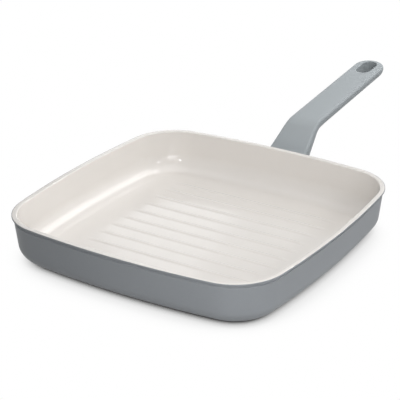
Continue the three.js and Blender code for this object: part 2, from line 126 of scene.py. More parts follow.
# Lug, screw and washers
LUG_WIDTH = 28
LUG_THICKNESS = 9.5
LUG_BASE_HEIGHT = 17.5
LUG_REACH = 22
LUG_EDGE_RADIUS = 3
SOCKET_CLEARANCE = 0.3
SCREW_RADIUS = 2.5
SCREW_CLEARANCE = 0.3
SCREW_HEAD_RADIUS = 4.75
SCREW_HEAD_HEIGHT = 3
SCREW_DOME_SPREAD = 0.45 * SCREW_HEAD_RADIUS
SCREW_DOME_HEIGHT = 0.6 * SCREW_HEAD_HEIGHT
DRIVE_RADIUS = 1.9
DRIVE_DEPTH = 1.8
DRIVE_FLARE = 0.8
DRIVE_FLARE_DEPTH = 0.3
DRIVE_SIDES = 6
THREAD_PITCH = 0.8
THREAD_DEPTH = 0.4
THREAD_START = 1.2 * THREAD_PITCH
COUNTERBORE_RADIUS = 5.6
COUNTERBORE_FLARE = 0.5
COUNTERBORE_STRAIGHT = 5
BORE_OVERLAP = 1
CUT_OVERRUN = 0.5
SPRING_WASHER_SPLIT = 0.7
SPRING_WASHER_RISE = 0.2
WASHER_EDGE = 0.12

# Facets
CORNER_STEPS = 24
SIDE_STEPS = 16
FILLET_STEPS = 28
EDGE_STEPS = 8
ROUND_STEPS = 64
BAR_END_STEPS = 16
FLARE_STEPS = 72
GRIP_STEPS = 24
TIP_STEPS = 28
UNDERSIDE_STEPS = 24
TOP_STEPS = 12
RIDGE_STEPS = 20
THREAD_STEPS = 8
SHARP_ANGLE = radians(35)


def mix(a, b, share):
    return a + (b - a) * share


def smoothstep(value, low, high):
    share = min(max((value - low) / (high - low), 0), 1)
    return share * share * (3 - 2 * share)


def quarter_turn(steps):
    return [pi / 2 * i / steps for i in range(steps + 1)]


# Shells: a list of points and a list of faces


def loft(rings, looped=False):
    """Skins rings of the same length and closes both ends, or joins the last ring to the first."""
    count = len(rings[0])
    points = [point for ring in rings for point in ring]
    bands = len(rings) if looped else len(rings) - 1
    faces = [] if looped else [tuple(reversed(range(count)))]
    for first in range(0, bands * count, count):
        after = (first + count) % len(points)
        for i in range(count):
            j = (i + 1) % count
            faces.append((first + i, first + j, after + j, after + i))
    if not looped:
        faces.append(tuple(range(len(points) - count, len(points))))
    return points, faces


def merged(shells):
    points, faces = [], []
    for shell_points, shell_faces in shells:
        start = len(points)
        points += shell_points
        faces += [tuple(start + i for i in face) for face in shell_faces]
    return points, faces


def moved(shell, x=0, y=0):
    points, faces = shell
    return [(px + x, py + y, pz) for px, py, pz in points], faces


def circle(radius, z, steps=ROUND_STEPS):
    angles = [2 * pi * i / steps for i in range(steps)]
    return [(radius * cos(angle), radius * sin(angle), z) for angle in angles]


def lathe(profile, steps=ROUND_STEPS):
    return loft([circle(radius, z, steps) for radius, z in profile])


def rounded_rectangle(half_width, half_height, radius):
    """Points across and up, clockwise from the top of the top right corner."""
    points = []
    for right, up, start in ((1, 1, 90), (1, -1, 0), (-1, -1, -90), (-1, 1, 180)):
        for turn in quarter_turn(EDGE_STEPS):
            angle = radians(start) - turn
            across = right * (half_width - radius) + radius * cos(angle)
            points.append((across, up * (half_height - radius) + radius * sin(angle)))
    return points


# Outlines seen from above, as arcs, so that an inset is the same arcs with smaller radii


def bowed_square(half_width, corner_radius, bow):
    half_chord = half_width - corner_radius
    side_radius = (half_chord**2 + bow**2) / (2 * bow)
    set_back = side_radius - half_width
    reach = side_radius - corner_radius
    corner = (sqrt(2 * reach**2 - set_back**2) - set_back) / 2
    side_angle = atan2(corner, corner + set_back)
    arcs = []
    for turn in (0, pi / 2, pi, 3 * pi / 2):
        spin = Matrix.Rotation(turn, 2)
        side_end = turn + side_angle
        corner_end = turn + pi / 2 - side_angle
        side_centre = spin @ Vector((-set_back, 0))
        corner_centre = spin @ Vector((corner, corner))
        arcs.append((side_centre, side_radius, turn - side_angle, side_end, SIDE_STEPS))
        arcs.append((corner_centre, corner_radius, side_end, corner_end, CORNER_STEPS))
    return arcs


def ring_of(arcs, inset, z):
    points = []
    for centre, radius, start, end, steps in arcs:
        for i in range(steps):
            angle = mix(start, end, i / steps)
            x = centre.x + (radius - inset) * cos(angle)
            y = centre.y + (radius - inset) * sin(angle)
            points.append((x, y, z))
    return points


def loft_outline(arcs, stations):
    return loft([ring_of(arcs, inset, z) for inset, z in stations])


def stadium_ring(half_length, radius, z):
    """A bar with round ends along X."""
    points = []
    for end, start in ((1, -pi / 2), (-1, pi / 2)):
        for i in range(BAR_END_STEPS + 1):
            angle = start + pi * i / BAR_END_STEPS
            points.append((end * half_length + radius * cos(angle), radius * sin(angle), z))
    return points


RIM_OUTLINE = bowed_square(RIM_HALF_WIDTH, RIM_CORNER_RADIUS, SIDE_BOW)
PLATE_OUTLINE = bowed_square(PLATE_HALF_WIDTH, PLATE_CORNER_RADIUS, PLATE_BOW)

# Pan

WALL_TOP_HEIGHT = PAN_HEIGHT - LIP_FACE_HEIGHT - COVE_HEIGHT - SHOULDER_HEIGHT
WALL_TOP_INSET = LIP_OVERHANG - SHOULDER_STEP


def wall_inset(z):
    return WALL_TOP_INSET + (WALL_TOP_HEIGHT - z) * tan(WALL_DRAFT)


def outer_stations(grow=0):
    """Inset and height from the base up the belly, wall, shoulder and cove to the lip."""
    lip_height = PAN_HEIGHT - LIP_FACE_HEIGHT
    stations = []
    for angle in reversed(quarter_turn(FILLET_STEPS)):
        z = BELLY_HEIGHT * (1 - sin(angle))
        stations.append((wall_inset(z) + BELLY_DEPTH * (1 - cos(angle)), z))
    wall_end = WALL_TOP_HEIGHT - SHOULDER_HEIGHT / 2
    stations.append((wall_inset(wall_end), wall_end))
    for angle in quarter_turn(EDGE_STEPS):
        inset = WALL_TOP_INSET + SHOULDER_STEP * (1 - cos(angle))
        rise = SHOULDER_HEIGHT * sin(angle) * SHOULDER_ROLL_SHARE
        stations.append((inset, WALL_TOP_HEIGHT + rise))
    for angle in quarter_turn(EDGE_STEPS * 2):
        inset = LIP_EDGE + (LIP_OVERHANG - LIP_EDGE) * cos(angle)
        stations.append((inset, lip_height - COVE_HEIGHT * (1 - sin(angle))))
    for angle in quarter_turn(EDGE_STEPS)[1:]:
        stations.append((LIP_EDGE * (1 - sin(angle)), lip_height + LIP_EDGE * (1 - cos(angle))))
    return [(inset - grow, z) for inset, z in stations]


def inner_stations(offset):
    """Inset and height from the rim down the inner wall to the floor, standing off the cast metal."""
    rim_height = BODY_RIM_HEIGHT + offset
    floor_height = FLOOR_HEIGHT - LINING_OFFSET + offset
    fillet = FLOOR_FILLET + LINING_OFFSET - offset
    edge = RIM_EDGE_RADIUS + offset
    rim_inset = RIM_WIDTH - LINING_OFFSET + offset
    tangent_height = floor_height + fillet * (1 - sin(INNER_DRAFT))
    tangent_inset = rim_inset + (rim_height - tangent_height) * tan(INNER_DRAFT)
    centre_inset = tangent_inset + fillet * cos(INNER_DRAFT)
    stations = []
    for angle in quarter_turn(EDGE_STEPS):
        stations.append((rim_inset - edge * (1 - sin(angle)), rim_height - edge * (1 - cos(angle))))
    for i in range(FILLET_STEPS + 1):
        angle = mix(INNER_DRAFT, pi / 2, i / FILLET_STEPS)
        stations.append((centre_inset - fillet * cos(angle), floor_height + fillet * (1 - sin(angle))))
    return stations


LUG_MIDDLE_HEIGHT = LUG_BASE_HEIGHT + LUG_THICKNESS / 2
WALL_REACH = RIM_HALF_WIDTH - wall_inset(LUG_MIDDLE_HEIGHT)
SCREW_POSITION = WALL_REACH + LUG_REACH / 2


def lug_bar(grow):
    half_width = LUG_WIDTH / 2 + grow
    section = rounded_rectangle(half_width, LUG_THICKNESS / 2 + grow, LUG_EDGE_RADIUS + grow)
    ends = (WALL_REACH - LINING_OFFSET, WALL_REACH + LUG_REACH + grow)
    return loft([[(across, y, LUG_MIDDLE_HEIGHT + up) for across, up in section] for y in ends])


def pan_shell():
    """Out of the plate's recess, up the outside, over the grey edge and down the inside."""
    recess = [
        ring_of(PLATE_OUTLINE, -PLATE_SEAT, PLATE_THICKNESS + PLATE_SEAT),
        ring_of(PLATE_OUTLINE, -PLATE_SEAT, PLATE_EDGE),
        ring_of(PLATE_OUTLINE, -PLATE_SEAT - PLATE_EDGE, 0),
    ]
    stations = outer_stations()
    for angle in quarter_turn(EDGE_STEPS):
        drop = LINING_PROUD + LACQUER_ROLL * (1 - sin(angle))
        stations.append((LACQUER_ROLL * (1 - cos(angle)), PAN_HEIGHT - drop))
    stations.append((LACQUER_EDGE, PAN_HEIGHT - LINING_PROUD))
    stations.append((LACQUER_EDGE, BODY_RIM_HEIGHT))
    stations += inner_stations(0)
    walls = [ring_of(RIM_OUTLINE, inset, z) for inset, z in stations]
    return loft(recess + walls)


def ceramic_shell():
    """Up the underside, round the foot that stands on the metal, and down the inside."""
    start = LACQUER_EDGE + RIM_SEAM
    stations = list(reversed(inner_stations(LINING_OFFSET - LINING_THICKNESS)))
    stations.append((start + LINING_FOOT, PAN_HEIGHT - LINING_THICKNESS))
    stations.append((start + LINING_FOOT, BODY_RIM_HEIGHT))
    stations.append((start, BODY_RIM_HEIGHT))
    for angle in quarter_turn(EDGE_STEPS):
        inset = start + LINING_ROLL * (1 - cos(angle))
        stations.append((inset, PAN_HEIGHT - LINING_ROLL * (1 - sin(angle))))
    return loft_outline(RIM_OUTLINE, stations + inner_stations(LINING_OFFSET))


def ridge_section(x):
    """One soft ridge cut across at x. Its flanks and ends run out a hair above the floor."""
    rise = RIDGE_HEIGHT * smoothstep(RIDGE_HALF_LENGTH - abs(x), 0, RIDGE_RUN_OUT)
    ring = [(x, RIDGE_FOOT, FLOOR_HEIGHT - LINING_THICKNESS / 2)]
    for i in range(RIDGE_STEPS + 1):
        y = mix(RIDGE_FOOT, -RIDGE_FOOT, i / RIDGE_STEPS)
        share = 1 - smoothstep(abs(y), RIDGE_CREST, RIDGE_FOOT)
        ring.append((x, y, FLOOR_HEIGHT + RIDGE_LIFT + rise * share))
    ring.append((x, -RIDGE_FOOT, FLOOR_HEIGHT - LINING_THICKNESS / 2))
    return ring


def ridge():
    ends = [RIDGE_HALF_LENGTH - RIDGE_RUN_OUT * i / RIDGE_STEPS for i in range(RIDGE_STEPS + 1)]
    return loft([ridge_section(x) for x in [-end for end in ends] + ends[::-1]])


def ridges():
    middle = (RIDGE_COUNT - 1) / 2
    return [moved(ridge(), y=(i - middle) * RIDGE_PITCH) for i in range(RIDGE_COUNT)]


# Induction plate


def plate_sheet():
    return loft_outline(PLATE_OUTLINE, [
        (PLATE_EDGE, 0),
        (0, PLATE_EDGE),
        (0, PLATE_THICKNESS - PLATE_EDGE),
        (PLATE_EDGE, PLATE_THICKNESS),
    ])


def plate_holes():
    """Grid of holes over the plate, with its middle left plain."""
    reach = PLATE_HALF_WIDTH - PLATE_HOLE_MARGIN - PLATE_HOLE_RADIUS
    count = int(reach / PLATE_HOLE_PITCH)
    corner_reach = reach - PLATE_BOW - PLATE_CORNER_RADIUS * (1 - sqrt(0.5))
    profile = [
        (PLATE_HOLE_RADIUS + 3 * PLATE_EDGE, -2 * PLATE_EDGE),
        (PLATE_HOLE_RADIUS, PLATE_EDGE),
        (PLATE_HOLE_RADIUS, 2 * PLATE_THICKNESS),
    ]
    hole = lathe(profile, ROUND_STEPS // 2)
    holes = []
    for i in range(-count, count + 1):
        for j in range(-count, count + 1):
            x, y = i * PLATE_HOLE_PITCH, j * PLATE_HOLE_PITCH
            in_corner = min(abs(x), abs(y)) > corner_reach
            if (i, j) != (0, 0) and not in_corner:
                holes.append(moved(hole, x, y))
    return merged(holes)


# Handle

NECK_TURN = NECK_ANGLE - GRIP_ANGLE
FLARE_START = ROOT_BURY + ROOT_LENGTH
FLARE_END = FLARE_START + ROOT_BEND_RADIUS * NECK_ANGLE + NECK_LENGTH + GRIP_BEND_RADIUS * NECK_TURN
SPINE_LENGTH = FLARE_END + GRIP_LENGTH
TIP_START = SPINE_LENGTH - GRIP_HALF_WIDTH
# Length and bend of each run of the spine
SPINE_RUNS = [
    (FLARE_START, 0),
    (ROOT_BEND_RADIUS * NECK_ANGLE, 1 / ROOT_BEND_RADIUS),
    (NECK_LENGTH, 0),
    (GRIP_BEND_RADIUS * NECK_TURN, -1 / GRIP_BEND_RADIUS),
    (GRIP_LENGTH, 0),
]


def spine_at(distance):
    """Place and slope of the middle of the top face, at a distance along it from inside the wall."""
    y, z, angle = WALL_REACH - ROOT_BURY, ROOT_TOP_HEIGHT, 0
    for length, bend in SPINE_RUNS:
        step = min(distance, length)
        turn = step * bend
        if bend:
            y += (sin(angle + turn) - sin(angle)) / bend
            z += (cos(angle) - cos(angle + turn)) / bend
        else:
            y += step * cos(angle)
            z += step * sin(angle)
        angle += turn
        distance -= step
    return y, z, angle


def section_size(distance):
    """Overhang past the tip's centre, full and actual half width, side height and depth."""
    flare = min(max(1 - distance / FLARE_END, 0), 1)
    eased = mix(flare, smoothstep(flare, 0, 1), FLARE_EASE)
    slim = smoothstep(distance, FLARE_START, FLARE_END + SLIMMING_OVERRUN)
    full_width = mix(GRIP_HALF_WIDTH, ROOT_HALF_WIDTH, eased)
    side = mix(ROOT_SIDE_DEPTH, GRIP_SIDE_DEPTH, slim)
    full_depth = mix(ROOT_DEPTH, GRIP_DEPTH, slim)
    past = max(distance - TIP_START, 0)
    share = sqrt(1 - (past / full_width) ** 2)
    return past, full_width, full_width * share, side, side + (full_depth - side) * share


def top_drop(across, past, full_width):
    """How far the top face lies below the spine: a slight crown with a round edge."""
    outward = hypot(across, past)
    roll = max(outward - (full_width - TOP_EDGE_RADIUS), 0)
    crown = TOP_CROWN * (outward / full_width) ** 2
    return crown + TOP_EDGE_RADIUS - sqrt(max(TOP_EDGE_RADIUS**2 - roll**2, 0))


def section_points(distance):
    past, full_width, half_width, side, depth = section_size(distance)
    right = []
    flat = max(half_width - TOP_EDGE_RADIUS, 0)
    spreads = [flat * i / TOP_STEPS for i in range(1, TOP_STEPS)]
    spreads += [flat + (half_width - flat) * sin(turn) for turn in quarter_turn(EDGE_STEPS)]
    for across in spreads:
        right.append((across, -top_drop(across, past, full_width)))
    for angle in quarter_turn(UNDERSIDE_STEPS)[:-1]:
        right.append((half_width * cos(angle), -side - (depth - side) * sin(angle)))
    left = [(-across, up) for across, up in reversed(right)]
    return [(0, -top_drop(0, past, full_width)), *right, (0, -depth), *left]


def handle_ring(distance):
    y, z, angle = spine_at(distance)
    points = section_points(distance)
    return [(across, y - up * sin(angle), z + up * cos(angle)) for across, up in points]


def handle_moulding():
    """The whole skin of the handle along its spine, before it is cut."""
    distances = [0, FLARE_START / 2]
    distances += [mix(FLARE_START, FLARE_END, i / FLARE_STEPS) for i in range(FLARE_STEPS)]
    distances += [mix(FLARE_END, TIP_START, i / GRIP_STEPS) for i in range(GRIP_STEPS)]
    distances += [TIP_START + GRIP_HALF_WIDTH * sin(turn) for turn in quarter_turn(TIP_STEPS)[:-1]]
    distances.append(SPINE_LENGTH - TIP_FLAT)
    return loft([handle_ring(distance) for distance in distances])


def hanging_slot():
    """Cutter for the slot, square to the grip, with a rolled lip on both faces."""
    turns = quarter_turn(EDGE_STEPS)
    lip = [(SLOT_LIP * (1 - sin(turn)), SLOT_LIP * (1 - cos(turn))) for turn in turns]
    flare = 3 * SLOT_LIP
    stations = [(flare, SLOT_LIP)]
    stations += [(grow, -drop) for grow, drop in lip]
    stations += [(grow, drop - GRIP_DEPTH) for grow, drop in reversed(lip)]
    stations += [(flare, -GRIP_DEPTH - SLOT_LIP)]
    half_length = SLOT_LENGTH / 2 - SLOT_HALF_WIDTH
    rings = []
    for grow, up in reversed(stations):
        rings.append(stadium_ring(half_length, SLOT_HALF_WIDTH + grow, up))
    points, faces = loft(rings)
    y, z, angle = spine_at(SPINE_LENGTH - SLOT_END_WALL - SLOT_LENGTH / 2)
    level, rise = cos(angle), sin(angle)
    turned = []
    for along, across, up in points:
        turned.append((-across, y + along * level - up * rise, z + along * rise + up * level))
    return turned, faces


def wall_block():
    """Cutter that shapes the handle's end to the pan's wall."""
    stations = outer_stations(WALL_GAP)
    return loft_outline(RIM_OUTLINE, [*stations, (-WALL_GAP, PAN_HEIGHT)])


def screw_bores(bearing_height):
    """Cutters for the well of the screw's head, open below, and for its shank."""
    shank_radius = SCREW_RADIUS + SCREW_CLEARANCE
    well = lathe([
        (COUNTERBORE_RADIUS + COUNTERBORE_FLARE, 0),
        (COUNTERBORE_RADIUS, bearing_height - COUNTERBORE_STRAIGHT),
        (COUNTERBORE_RADIUS, bearing_height),
    ])
    shank = lathe([(shank_radius, bearing_height - BORE_OVERLAP), (shank_radius, LUG_MIDDLE_HEIGHT)])
    return [moved(well, y=SCREW_POSITION), moved(shank, y=SCREW_POSITION)]


# Screw and washers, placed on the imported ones


def place_of(node):
    """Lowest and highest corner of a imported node, in millimetres."""
    low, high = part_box(node)
    return low / MM, high / MM


def thread_ring(z):
    """A thread cut across at z: its depth follows the turn."""
    points = []
    for i in range(ROUND_STEPS):
        turn = i / ROUND_STEPS
        phase = (z / THREAD_PITCH - turn) % 1
        radius = SCREW_RADIUS - THREAD_DEPTH * abs(2 * phase - 1)
        points.append((radius * cos(2 * pi * turn), radius * sin(2 * pi * turn), z))
    return points


def screw_shell():
    low, high = place_of("handle_screw")
    bottom, head_top = low.z, low.z + SCREW_HEAD_HEIGHT
    rings = []
    for turn in quarter_turn(EDGE_STEPS * 2):
        radius = SCREW_HEAD_RADIUS - SCREW_DOME_SPREAD * (1 - sin(turn))
        rings.append(circle(radius, bottom + SCREW_DOME_HEIGHT * (1 - cos(turn))))
    rings.append(circle(SCREW_HEAD_RADIUS, head_top - WASHER_EDGE))
    rings.append(circle(SCREW_HEAD_RADIUS - WASHER_EDGE, head_top))
    rings.append(circle(SCREW_RADIUS, head_top))
    rings.append(circle(SCREW_RADIUS - THREAD_DEPTH, head_top + THREAD_PITCH))
    count = int((high.z - head_top - 2 * THREAD_PITCH) / THREAD_PITCH * THREAD_STEPS)
    for i in range(count):
        rings.append(thread_ring(head_top + THREAD_START + THREAD_PITCH * i / THREAD_STEPS))
    rings.append(circle(SCREW_RADIUS - 2 * THREAD_DEPTH, high.z))
    return moved(loft(rings), y=SCREW_POSITION)


def screw_drive():
    """Cutter for the key's socket in the screw's head, flared at its mouth."""
    bottom = place_of("handle_screw")[0].z
    profile = [
        (DRIVE_RADIUS + DRIVE_FLARE, bottom - CUT_OVERRUN),
        (DRIVE_RADIUS, bottom + DRIVE_FLARE_DEPTH),
        (DRIVE_RADIUS, bottom + DRIVE_DEPTH),
    ]
    return moved(lathe(profile, DRIVE_SIDES), y=SCREW_POSITION)


def washer_shell(node, split=0, rise=0):
    """A ring with softened edges. A split one is open over a short gap and rises on its way round."""
    low, high = place_of(node)
    outer = (high.x - low.x) / 2
    inner = SCREW_RADIUS + SCREW_CLEARANCE
    half_height = (high.z - low.z - rise) / 2
    section = rounded_rectangle((outer - inner) / 2, half_height, WASHER_EDGE)
    middle = (outer + inner) / 2
    gap = split / middle
    rings = []
    for i in range(ROUND_STEPS + 1 if split else ROUND_STEPS):
        share = i / ROUND_STEPS
        angle = mix(gap / 2, 2 * pi - gap / 2, share)
        base = low.z + half_height + rise * share
        ring = []
        for across, up in section:
            radius = middle + across
            ring.append((radius * cos(angle), SCREW_POSITION + radius * sin(angle), base + up))
        rings.append(ring)
    return loft(rings, looped=not split)


# Materials

SHADES = {}

# Most of a noise lies in this span
NOISE_SPAN = (0.3, 0.7)

# Numbers of a Mix node's sockets, when it mixes colours and when it mixes values
COLOR_FIRST, COLOR_SECOND, COLOR_RESULT = 6, 7, 2
VALUE_FIRST, VALUE_SECOND, VALUE_RESULT = 2, 3, 0


def new_material(name):
    material = bpy.data.materials.new(name)
    material.use_nodes = True
    tree = material.node_tree
    shader = tree.nodes["Principled BSDF"]
    SHADES[name] = material
    return tree, shader


def object_position(tree):
    return tree.nodes.new("ShaderNodeTexCoord").outputs["Object"]


def noise(tree, grain, detail, position=None):
    """Cloudy noise whose blotches are about as wide as grain, in millimetres."""
    texture = tree.nodes.new("ShaderNodeTexNoise")
    texture.inputs["Scale"].default_value = 1 / (grain * MM)
    texture.inputs["Detail"].default_value = detail
    tree.links.new(position or object_position(tree), texture.inputs["Vector"])
    return texture.outputs[0]


def ranged(tree, value, source, target):
    """Maps the source span of a value to the target span, and holds it there."""
    node = tree.nodes.new("ShaderNodeMapRange")
    tree.links.new(value, node.inputs["Value"])
    for name, number in zip(("From Min", "From Max", "To Min", "To Max"), (*source, *target)):
        node.inputs[name].default_value = number
    return node.outputs["Result"]


def blend_colors(tree, factor, first, second):
    """Mixes two colours, each a tuple or a socket."""
    node = tree.nodes.new("ShaderNodeMix")
    node.data_type = "RGBA"
    tree.links.new(factor, node.inputs["Factor"])
    for socket, color in ((COLOR_FIRST, first), (COLOR_SECOND, second)):
        if isinstance(color, tuple):
            node.inputs[socket].default_value = (*color, 1)
        else:
            tree.links.new(color, node.inputs[socket])
    return node.outputs[COLOR_RESULT]


def bumps(tree, shader, layers):
    """Stacks bump maps, each a height socket, a strength and a depth in millimetres."""
    last = None
    for height, strength, depth in layers:
        bump = tree.nodes.new("ShaderNodeBump")
        bump.inputs["Strength"].default_value = strength
        bump.inputs["Distance"].default_value = depth * MM
        tree.links.new(height, bump.inputs["Height"])
        if last:
            tree.links.new(last, bump.inputs["Normal"])
        last = bump.outputs["Normal"]
    tree.links.new(last, shader.inputs["Normal"])


def convex_edges(tree, low, high):
    """Rises from 0 to 1 on convex edges."""
    geometry = tree.nodes.new("ShaderNodeNewGeometry")
    return ranged(tree, geometry.outputs["Pointiness"], (low, high), (0, 1))


def grey_lacquer():
    """Sprayed satin lacquer with a fine grain, paler on convex edges."""
    dark, pale = (0.22, 0.234, 0.249), (0.234, 0.248, 0.263)
    speck_color, edge_color = (0.268, 0.283, 0.299), (0.3, 0.315, 0.33)
    tree, shader = new_material("grey_lacquer")
    cloud = noise(tree, grain=40, detail=2)
    speck = noise(tree, grain=0.5, detail=2)
    wave = noise(tree, grain=6, detail=2)
    base = blend_colors(tree, cloud, dark, pale)
    speckled = blend_colors(tree, ranged(tree, speck, (0.35, 0.7), (0, 0.5)), base, speck_color)
    color = blend_colors(tree, convex_edges(tree, 0.53, 0.62), speckled, edge_color)
    tree.links.new(color, shader.inputs["Base Color"])
    tree.links.new(ranged(tree, speck, NOISE_SPAN, (0.42, 0.54)), shader.inputs["Roughness"])
    shader.inputs["Specular IOR Level"].default_value = 0.25
    bumps(tree, shader, [(wave, 0.02, 0.2), (speck, 0.12, 0.03)])


def cream_ceramic():
    """Glossy sprayed ceramic with a faint orange-peel surface."""
    dark, pale = (0.79, 0.758, 0.722), (0.815, 0.783, 0.747)
    speck_color = (0.74, 0.705, 0.665)
    tree, shader = new_material("cream_ceramic")
    cloud = noise(tree, grain=30, detail=3)
    speck = noise(tree, grain=0.8, detail=2)
    peel = noise(tree, grain=2.5, detail=2)
    fine_peel = noise(tree, grain=0.7, detail=1)
    base = blend_colors(tree, cloud, dark, pale)
    color = blend_colors(tree, ranged(tree, speck, (0.66, 0.74), (0, 0.35)), base, speck_color)
    tree.links.new(color, shader.inputs["Base Color"])
    tree.links.new(ranged(tree, cloud, NOISE_SPAN, (0.08, 0.11)), shader.inputs["Roughness"])
    shader.inputs["Specular IOR Level"].default_value = 0.5
    bumps(tree, shader, [(peel, 0.03, 0.04), (fine_peel, 0.02, 0.02)])


def soft_touch_grey():
    """Moulded handle with a fine spark-eroded grain."""
    dark, pale = (0.37, 0.402, 0.42), (0.392, 0.425, 0.443)
    grain_color = (0.424, 0.457, 0.475)
    tree, shader = new_material("soft_touch_grey")
    cloud = noise(tree, grain=25, detail=2)
    grain = noise(tree, grain=0.5, detail=2)
    base = blend_colors(tree, cloud, dark, pale)
    color = blend_colors(tree, ranged(tree, grain, (0.35, 0.7), (0, 0.4)), base, grain_color)
    tree.links.new(color, shader.inputs["Base Color"])
    tree.links.new(ranged(tree, grain, NOISE_SPAN, (0.56, 0.64)), shader.inputs["Roughness"])
    shader.inputs["Specular IOR Level"].default_value = 0.3
    bumps(tree, shader, [(grain, 0.02, 0.03)])


def turned_marks(tree, centre_y, grain):
    """Fine rings round an upright axis, as a lathe leaves them."""
    parts = tree.nodes.new("ShaderNodeSeparateXYZ")
    tree.links.new(object_position(tree), parts.inputs["Vector"])
    flat = tree.nodes.new("ShaderNodeCombineXYZ")
    shift = tree.nodes.new("ShaderNodeMath")
    shift.operation = "SUBTRACT"
    shift.inputs[1].default_value = centre_y * MM
    tree.links.new(parts.outputs["Y"], shift.inputs[0])
    tree.links.new(parts.outputs["X"], flat.inputs["X"])
    tree.links.new(shift.outputs["Value"], flat.inputs["Y"])
    length = tree.nodes.new("ShaderNodeVectorMath")
    length.operation = "LENGTH"
    tree.links.new(flat.outputs["Vector"], length.inputs[0])
    line = tree.nodes.new("ShaderNodeCombineXYZ")
    tree.links.new(length.outputs["Value"], line.inputs["X"])
    return noise(tree, grain, 4, line.outputs["Vector"])


def steel(name, tint, centre_y, grain, roughness):
    """Bare steel with the marks of the tool that turned it, with painted shade darkening their valleys.
    """
    dark = tuple(0.8 * part for part in tint)
    tree, shader = new_material(name)
    marks = turned_marks(tree, centre_y, grain)
    cloud = noise(tree, grain=12, detail=3)
    # Painted shade: the colour darkens where the turned marks dip
    color = blend_colors(tree, ranged(tree, marks, NOISE_SPAN, (0, 1)), dark, tint)
    tree.links.new(color, shader.inputs["Base Color"])
    tree.links.new(ranged(tree, cloud, NOISE_SPAN, roughness), shader.inputs["Roughness"])
    shader.inputs["Metallic"].default_value = 1
    bumps(tree, shader, [(marks, 0.15, 0.03)])


grey_lacquer()
cream_ceramic()
soft_touch_grey()
steel("brushed_steel", (0.6, 0.6, 0.61), centre_y=0, grain=0.5, roughness=(0.28, 0.38))
steel("screw_steel", (0.62, 0.62, 0.63), centre_y=SCREW_POSITION, grain=0.25, roughness=(0.22, 0.32))

# Pieces


def make_mesh(name, shell):
    points, faces = shell
    mesh = bpy.data.meshes.new(name)
    mesh.from_pydata([tuple(part * MM for part in point) for point in points], [], faces)
    mesh.update()
    return mesh


def make_object(name, mesh):
    piece = bpy.data.objects.new(name, mesh)
    bpy.context.scene.collection.objects.link(piece)
    return piece


def cut_mesh(name, shell, cutters):
    """The shell less each cutter in turn."""
    target = make_object(name + "_blank", make_mesh(name + "_blank", shell))
    tools = []
    for cutter in cutters:
        tool = make_object(name + "_cutter", make_mesh(name + "_cutter", cutter))
        boolean = target.modifiers.new("cut", "BOOLEAN")
        boolean.operation = "DIFFERENCE"
        boolean.solver = "EXACT"
        boolean.object = tool
        tools.append(tool)
    graph = bpy.context.evaluated_depsgraph_get()
    mesh = bpy.data.meshes.new_from_object(target.evaluated_get(graph))
    for used in (target, *tools):
        bpy.data.objects.remove(used)
    return mesh


def add_piece(name, mesh, node, slot):
    for face in mesh.polygons:
        face.use_smooth = True
    mesh.set_sharp_from_angle(angle=SHARP_ANGLE)
    mesh.materials.clear()
    mesh.materials.append(SHADES[slot])
    piece = make_object(name, mesh)
    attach(piece, "root")
    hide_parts(node)


BEARING_HEIGHT = place_of("flat_washer")[1].z

body_mesh = make_mesh("pan_shell", merged([pan_shell(), lug_bar(0)]))
add_piece("pan_shell", body_mesh, "pan_body", "grey_lacquer")
lining_mesh = make_mesh("ceramic_interior", merged([ceramic_shell(), *ridges()]))
add_piece("ceramic_interior", lining_mesh, "ceramic_lining", "cream_ceramic")
plate_mesh = cut_mesh("base_plate", plate_sheet(), [plate_holes()])
add_piece("base_plate", plate_mesh, "induction_plate", "brushed_steel")
handle_cutters = [wall_block(), lug_bar(SOCKET_CLEARANCE), *screw_bores(BEARING_HEIGHT), hanging_slot()]
handle_mesh = cut_mesh("handle_grip", handle_moulding(), handle_cutters)
add_piece("handle_grip", handle_mesh, "handle", "soft_touch_grey")
screw_mesh = cut_mesh("socket_screw", screw_shell(), [screw_drive()])
add_piece("socket_screw", screw_mesh, "handle_screw", "screw_steel")
split_ring = washer_shell("spring_washer", SPRING_WASHER_SPLIT, SPRING_WASHER_RISE)
lock_mesh = make_mesh("lock_washer", split_ring)
add_piece("lock_washer", lock_mesh, "spring_washer", "screw_steel")
plain_mesh = make_mesh("plain_washer", washer_shell("flat_washer"))
add_piece("plain_washer", plain_mesh, "flat_washer", "screw_steel")

# Stage

scene = bpy.context.scene
scene.view_settings.view_transform = "Standard"


def background_rays(tree):
    """1 for rays that see the background: from the camera, off gloss or through glass."""
    path = tree.nodes.new("ShaderNodeLightPath")
    total = path.outputs["Is Camera Ray"]
    for name in ("Is Glossy Ray", "Is Transmission Ray"):
        larger = tree.nodes.new("ShaderNodeMath")
        larger.operation = "MAXIMUM"
        tree.links.new(total, larger.inputs[0])
        tree.links.new(path.outputs[name], larger.inputs[1])
        total = larger.outputs["Value"]
    return total


# Light from the sky: a direction and how strongly the sky glows round it
SKY_GLOWS = [((0, 0, 1), 0.14), ((1, 0, 0), 0.06)]

# Painted shadow: how light the floor's glow looks, by the share of the sky that reaches it
FLOOR_SHADE = [
    (0.1, 0.03),
    (0.16, 0.2),
    (0.185, 0.4),
    (0.21, 0.55),
    (0.3, 0.67),
    (0.45, 0.86),
    (0.57, 0.97),
    (0.66, 1),
]
SHADOW_REACH = 60
FLOOR_HALF_WIDTH = 4000
FLOOR_BOUNCE = (0.5, 0.5, 0.5, 1)


